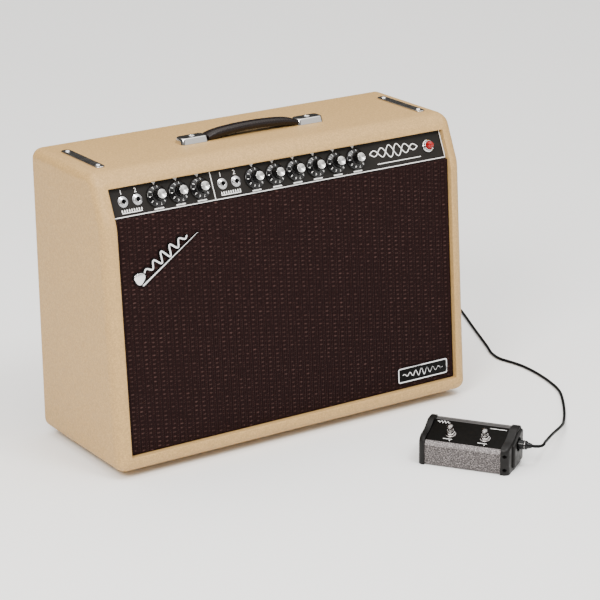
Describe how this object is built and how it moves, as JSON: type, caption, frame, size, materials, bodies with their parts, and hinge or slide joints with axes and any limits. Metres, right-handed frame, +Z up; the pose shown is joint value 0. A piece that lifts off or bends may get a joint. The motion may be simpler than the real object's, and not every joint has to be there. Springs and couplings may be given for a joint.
{
  "type": "guitar combo amplifier with footswitch",
  "caption": "Open-backed guitar combo amplifier in a slanted-front cream cabinet: dark grille, angled panel of skirted knobs, strap handle, wired two-button footswitch.",
  "frame": {"origin": "centre of the rectangle of floor round the amplifier and its footswitch, on the floor", "axes": "+X to the right along the amplifier's front as its player faces it, +Y to its rear, +Z up"},
  "size_m": [0.8705, 0.7511, 0.4632],
  "materials": {
    "covered_board": "pine board covered in pebbled cream vinyl",
    "ply": "dark painted plywood",
    "grille_cloth": "dark oxblood woven cloth stretched over a board",
    "foot_rubber": "matt",
    "sheet_steel": "zinc plated",
    "panel": "satin black with white printing",
    "knob_plastic": "black skirt with white numbers",
    "chrome": "polished",
    "jewel": "faceted red lens",
    "circuit_board": "solder mask",
    "speaker_paint": "semi-gloss",
    "magnet": "plated rim and ceramic ring",
    "cone_paper": "pressed paper",
    "handle_strap": "moulded brown-black strap",
    "nickel": "nickel plated",
    "black_plastic": "satin",
    "pedal_metal": "silver-grey texture paint",
    "cord_jacket": "smooth jacket",
    "plug_rubber": "moulded"
  },
  "bodies": {
    "amplifier": {"cabinet_top": "covered_board", "cabinet_bottom": "covered_board", "cabinet_side_left": "covered_board", "cabinet_side_right": "covered_board", "baffle_board": "ply", "grille_panel": "grille_cloth", "upper_back_panel": "covered_board", "lower_back_panel": "covered_board", "foot_front_left": "foot_rubber", "foot_front_right": "foot_rubber", "foot_rear_left": "foot_rubber", "foot_rear_right": "foot_rubber", "chassis": "sheet_steel", "control_panel": "panel", "normal_input_1": "chrome", "normal_input_2": "chrome", "vibrato_input_1": "chrome", "vibrato_input_2": "chrome", "pilot_bezel": "chrome", "pilot_jewel": "jewel", "control_board": "circuit_board", "main_board": "circuit_board", "power_supply": "sheet_steel", "speaker_frame": "speaker_paint", "speaker_magnet": "magnet", "handle_cap_left": "chrome", "handle_cap_right": "chrome", "chassis_strap_left": "nickel", "chassis_strap_right": "nickel", "mains_inlet": "black_plastic", "line_out_socket": "nickel", "footswitch_jack": "chrome", "pedal_housing": "pedal_metal", "pedal_end_left": "black_plastic", "pedal_end_right": "black_plastic", "cord_upper": "cord_jacket", "cord_coil": "cord_jacket", "cord_lower": "cord_jacket", "cord_plug_amp": "plug_rubber", "cord_plug_pedal": "plug_rubber", "emblem": "chrome", "nameplate": "chrome"},
    "normal_volume_control": {"normal_volume_knob": "knob_plastic"},
    "normal_treble_control": {"normal_treble_knob": "knob_plastic"},
    "normal_bass_control": {"normal_bass_knob": "knob_plastic"},
    "vibrato_volume_control": {"vibrato_volume_knob": "knob_plastic"},
    "vibrato_treble_control": {"vibrato_treble_knob": "knob_plastic"},
    "vibrato_bass_control": {"vibrato_bass_knob": "knob_plastic"},
    "reverb_control": {"reverb_knob": "knob_plastic"},
    "speed_control": {"speed_knob": "knob_plastic"},
    "intensity_control": {"intensity_knob": "knob_plastic"},
    "output_power_control": {"output_power_knob": "knob_plastic"},
    "line_level_control": {"line_level_knob": "knob_plastic"},
    "mains_switch": {"power_rocker": "black_plastic"},
    "cabinet_sim_switch": {"cabinet_sim_toggle": "chrome"},
    "ground_lift_switch": {"ground_lift_toggle": "chrome"},
    "cone": {"speaker_cone": "cone_paper"},
    "handle": {"handle_strap": "handle_strap"},
    "left_button": {"pedal_button_left": "chrome"},
    "right_button": {"pedal_button_right": "chrome"}
  },
  "joints": [
    {"name": "normal_volume_turn", "type": "hinge", "parent": "amplifier", "child": "normal_volume_control", "pos_m": [-0.2135, 0.0702, 0.40311], "axis": [0, -0.9115, 0.4114], "range_deg": [-300, 0]},
    {"name": "normal_treble_turn", "type": "hinge", "parent": "amplifier", "child": "normal_treble_control", "pos_m": [-0.1779, 0.0702, 0.40311], "axis": [0, -0.9115, 0.4114], "range_deg": [-300, 0]},
    {"name": "normal_bass_turn", "type": "hinge", "parent": "amplifier", "child": "normal_bass_control", "pos_m": [-0.1423, 0.0702, 0.40311], "axis": [0, -0.9115, 0.4114], "range_deg": [-300, 0]},
    {"name": "vibrato_volume_turn", "type": "hinge", "parent": "amplifier", "child": "vibrato_volume_control", "pos_m": [-0.05, 0.0702, 0.40311], "axis": [0, -0.9115, 0.4114], "range_deg": [-300, 0]},
    {"name": "vibrato_treble_turn", "type": "hinge", "parent": "amplifier", "child": "vibrato_treble_control", "pos_m": [-0.0144, 0.0702, 0.40311], "axis": [0, -0.9115, 0.4114], "range_deg": [-300, 0]},
    {"name": "vibrato_bass_turn", "type": "hinge", "parent": "amplifier", "child": "vibrato_bass_control", "pos_m": [0.0212, 0.0702, 0.40311], "axis": [0, -0.9115, 0.4114], "range_deg": [-300, 0]},
    {"name": "reverb_turn", "type": "hinge", "parent": "amplifier", "child": "reverb_control", "pos_m": [0.0568, 0.0702, 0.40311], "axis": [0, -0.9115, 0.4114], "range_deg": [-300, 0]},
    {"name": "speed_turn", "type": "hinge", "parent": "amplifier", "child": "speed_control", "pos_m": [0.0924, 0.0702, 0.40311], "axis": [0, -0.9115, 0.4114], "range_deg": [-300, 0]},
    {"name": "intensity_turn", "type": "hinge", "parent": "amplifier", "child": "intensity_control", "pos_m": [0.128, 0.0702, 0.40311], "axis": [0, -0.9115, 0.4114], "range_deg": [-300, 0]},
    {"name": "output_power_turn", "type": "hinge", "parent": "amplifier", "child": "output_power_control", "pos_m": [0.142, 0.24414, 0.4035], "axis": [0, 1, 0], "range_deg": [-150, 0]},
    {"name": "line_level_turn", "type": "hinge", "parent": "amplifier", "child": "line_level_control", "pos_m": [0.062, 0.24414, 0.4035], "axis": [0, 1, 0], "range_deg": [-150, 150]},
    {"name": "power_rocker_tip", "type": "hinge", "parent": "amplifier", "child": "mains_switch", "pos_m": [0.192, 0.24414, 0.4035], "axis": [-1, 0, 0], "range_deg": [-16, 0]},
    {"name": "cabinet_sim_toggle_tip", "type": "hinge", "parent": "amplifier", "child": "cabinet_sim_switch", "pos_m": [0.098, 0.24414, 0.4035], "axis": [-1, 0, 0], "range_deg": [-12, 12]},
    {"name": "ground_lift_toggle_tip", "type": "hinge", "parent": "amplifier", "child": "ground_lift_switch", "pos_m": [0.03, 0.24414, 0.4035], "axis": [-1, 0, 0], "range_deg": [-24, 0]},
    {"name": "cone_travel", "type": "slide", "parent": "amplifier", "child": "cone", "axis": [0, 0.9981, -0.0616], "range_m": [-0.003, 0.003], "stiffness_N_per_m": 2500},
    {"name": "handle_lift", "type": "slide", "parent": "amplifier", "child": "handle", "axis": [0, 0, 1], "range_m": [0, 0.01]},
    {"name": "pedal_button_left_press", "type": "slide", "parent": "amplifier", "child": "left_button", "axis": [-0.238, -0.1685, 0.9565], "range_m": [-0.0025, 0], "stiffness_N_per_m": 1500},
    {"name": "pedal_button_right_press", "type": "slide", "parent": "amplifier", "child": "right_button", "axis": [-0.238, -0.1685, 0.9565], "range_m": [-0.0025, 0], "stiffness_N_per_m": 1500}
  ]
}
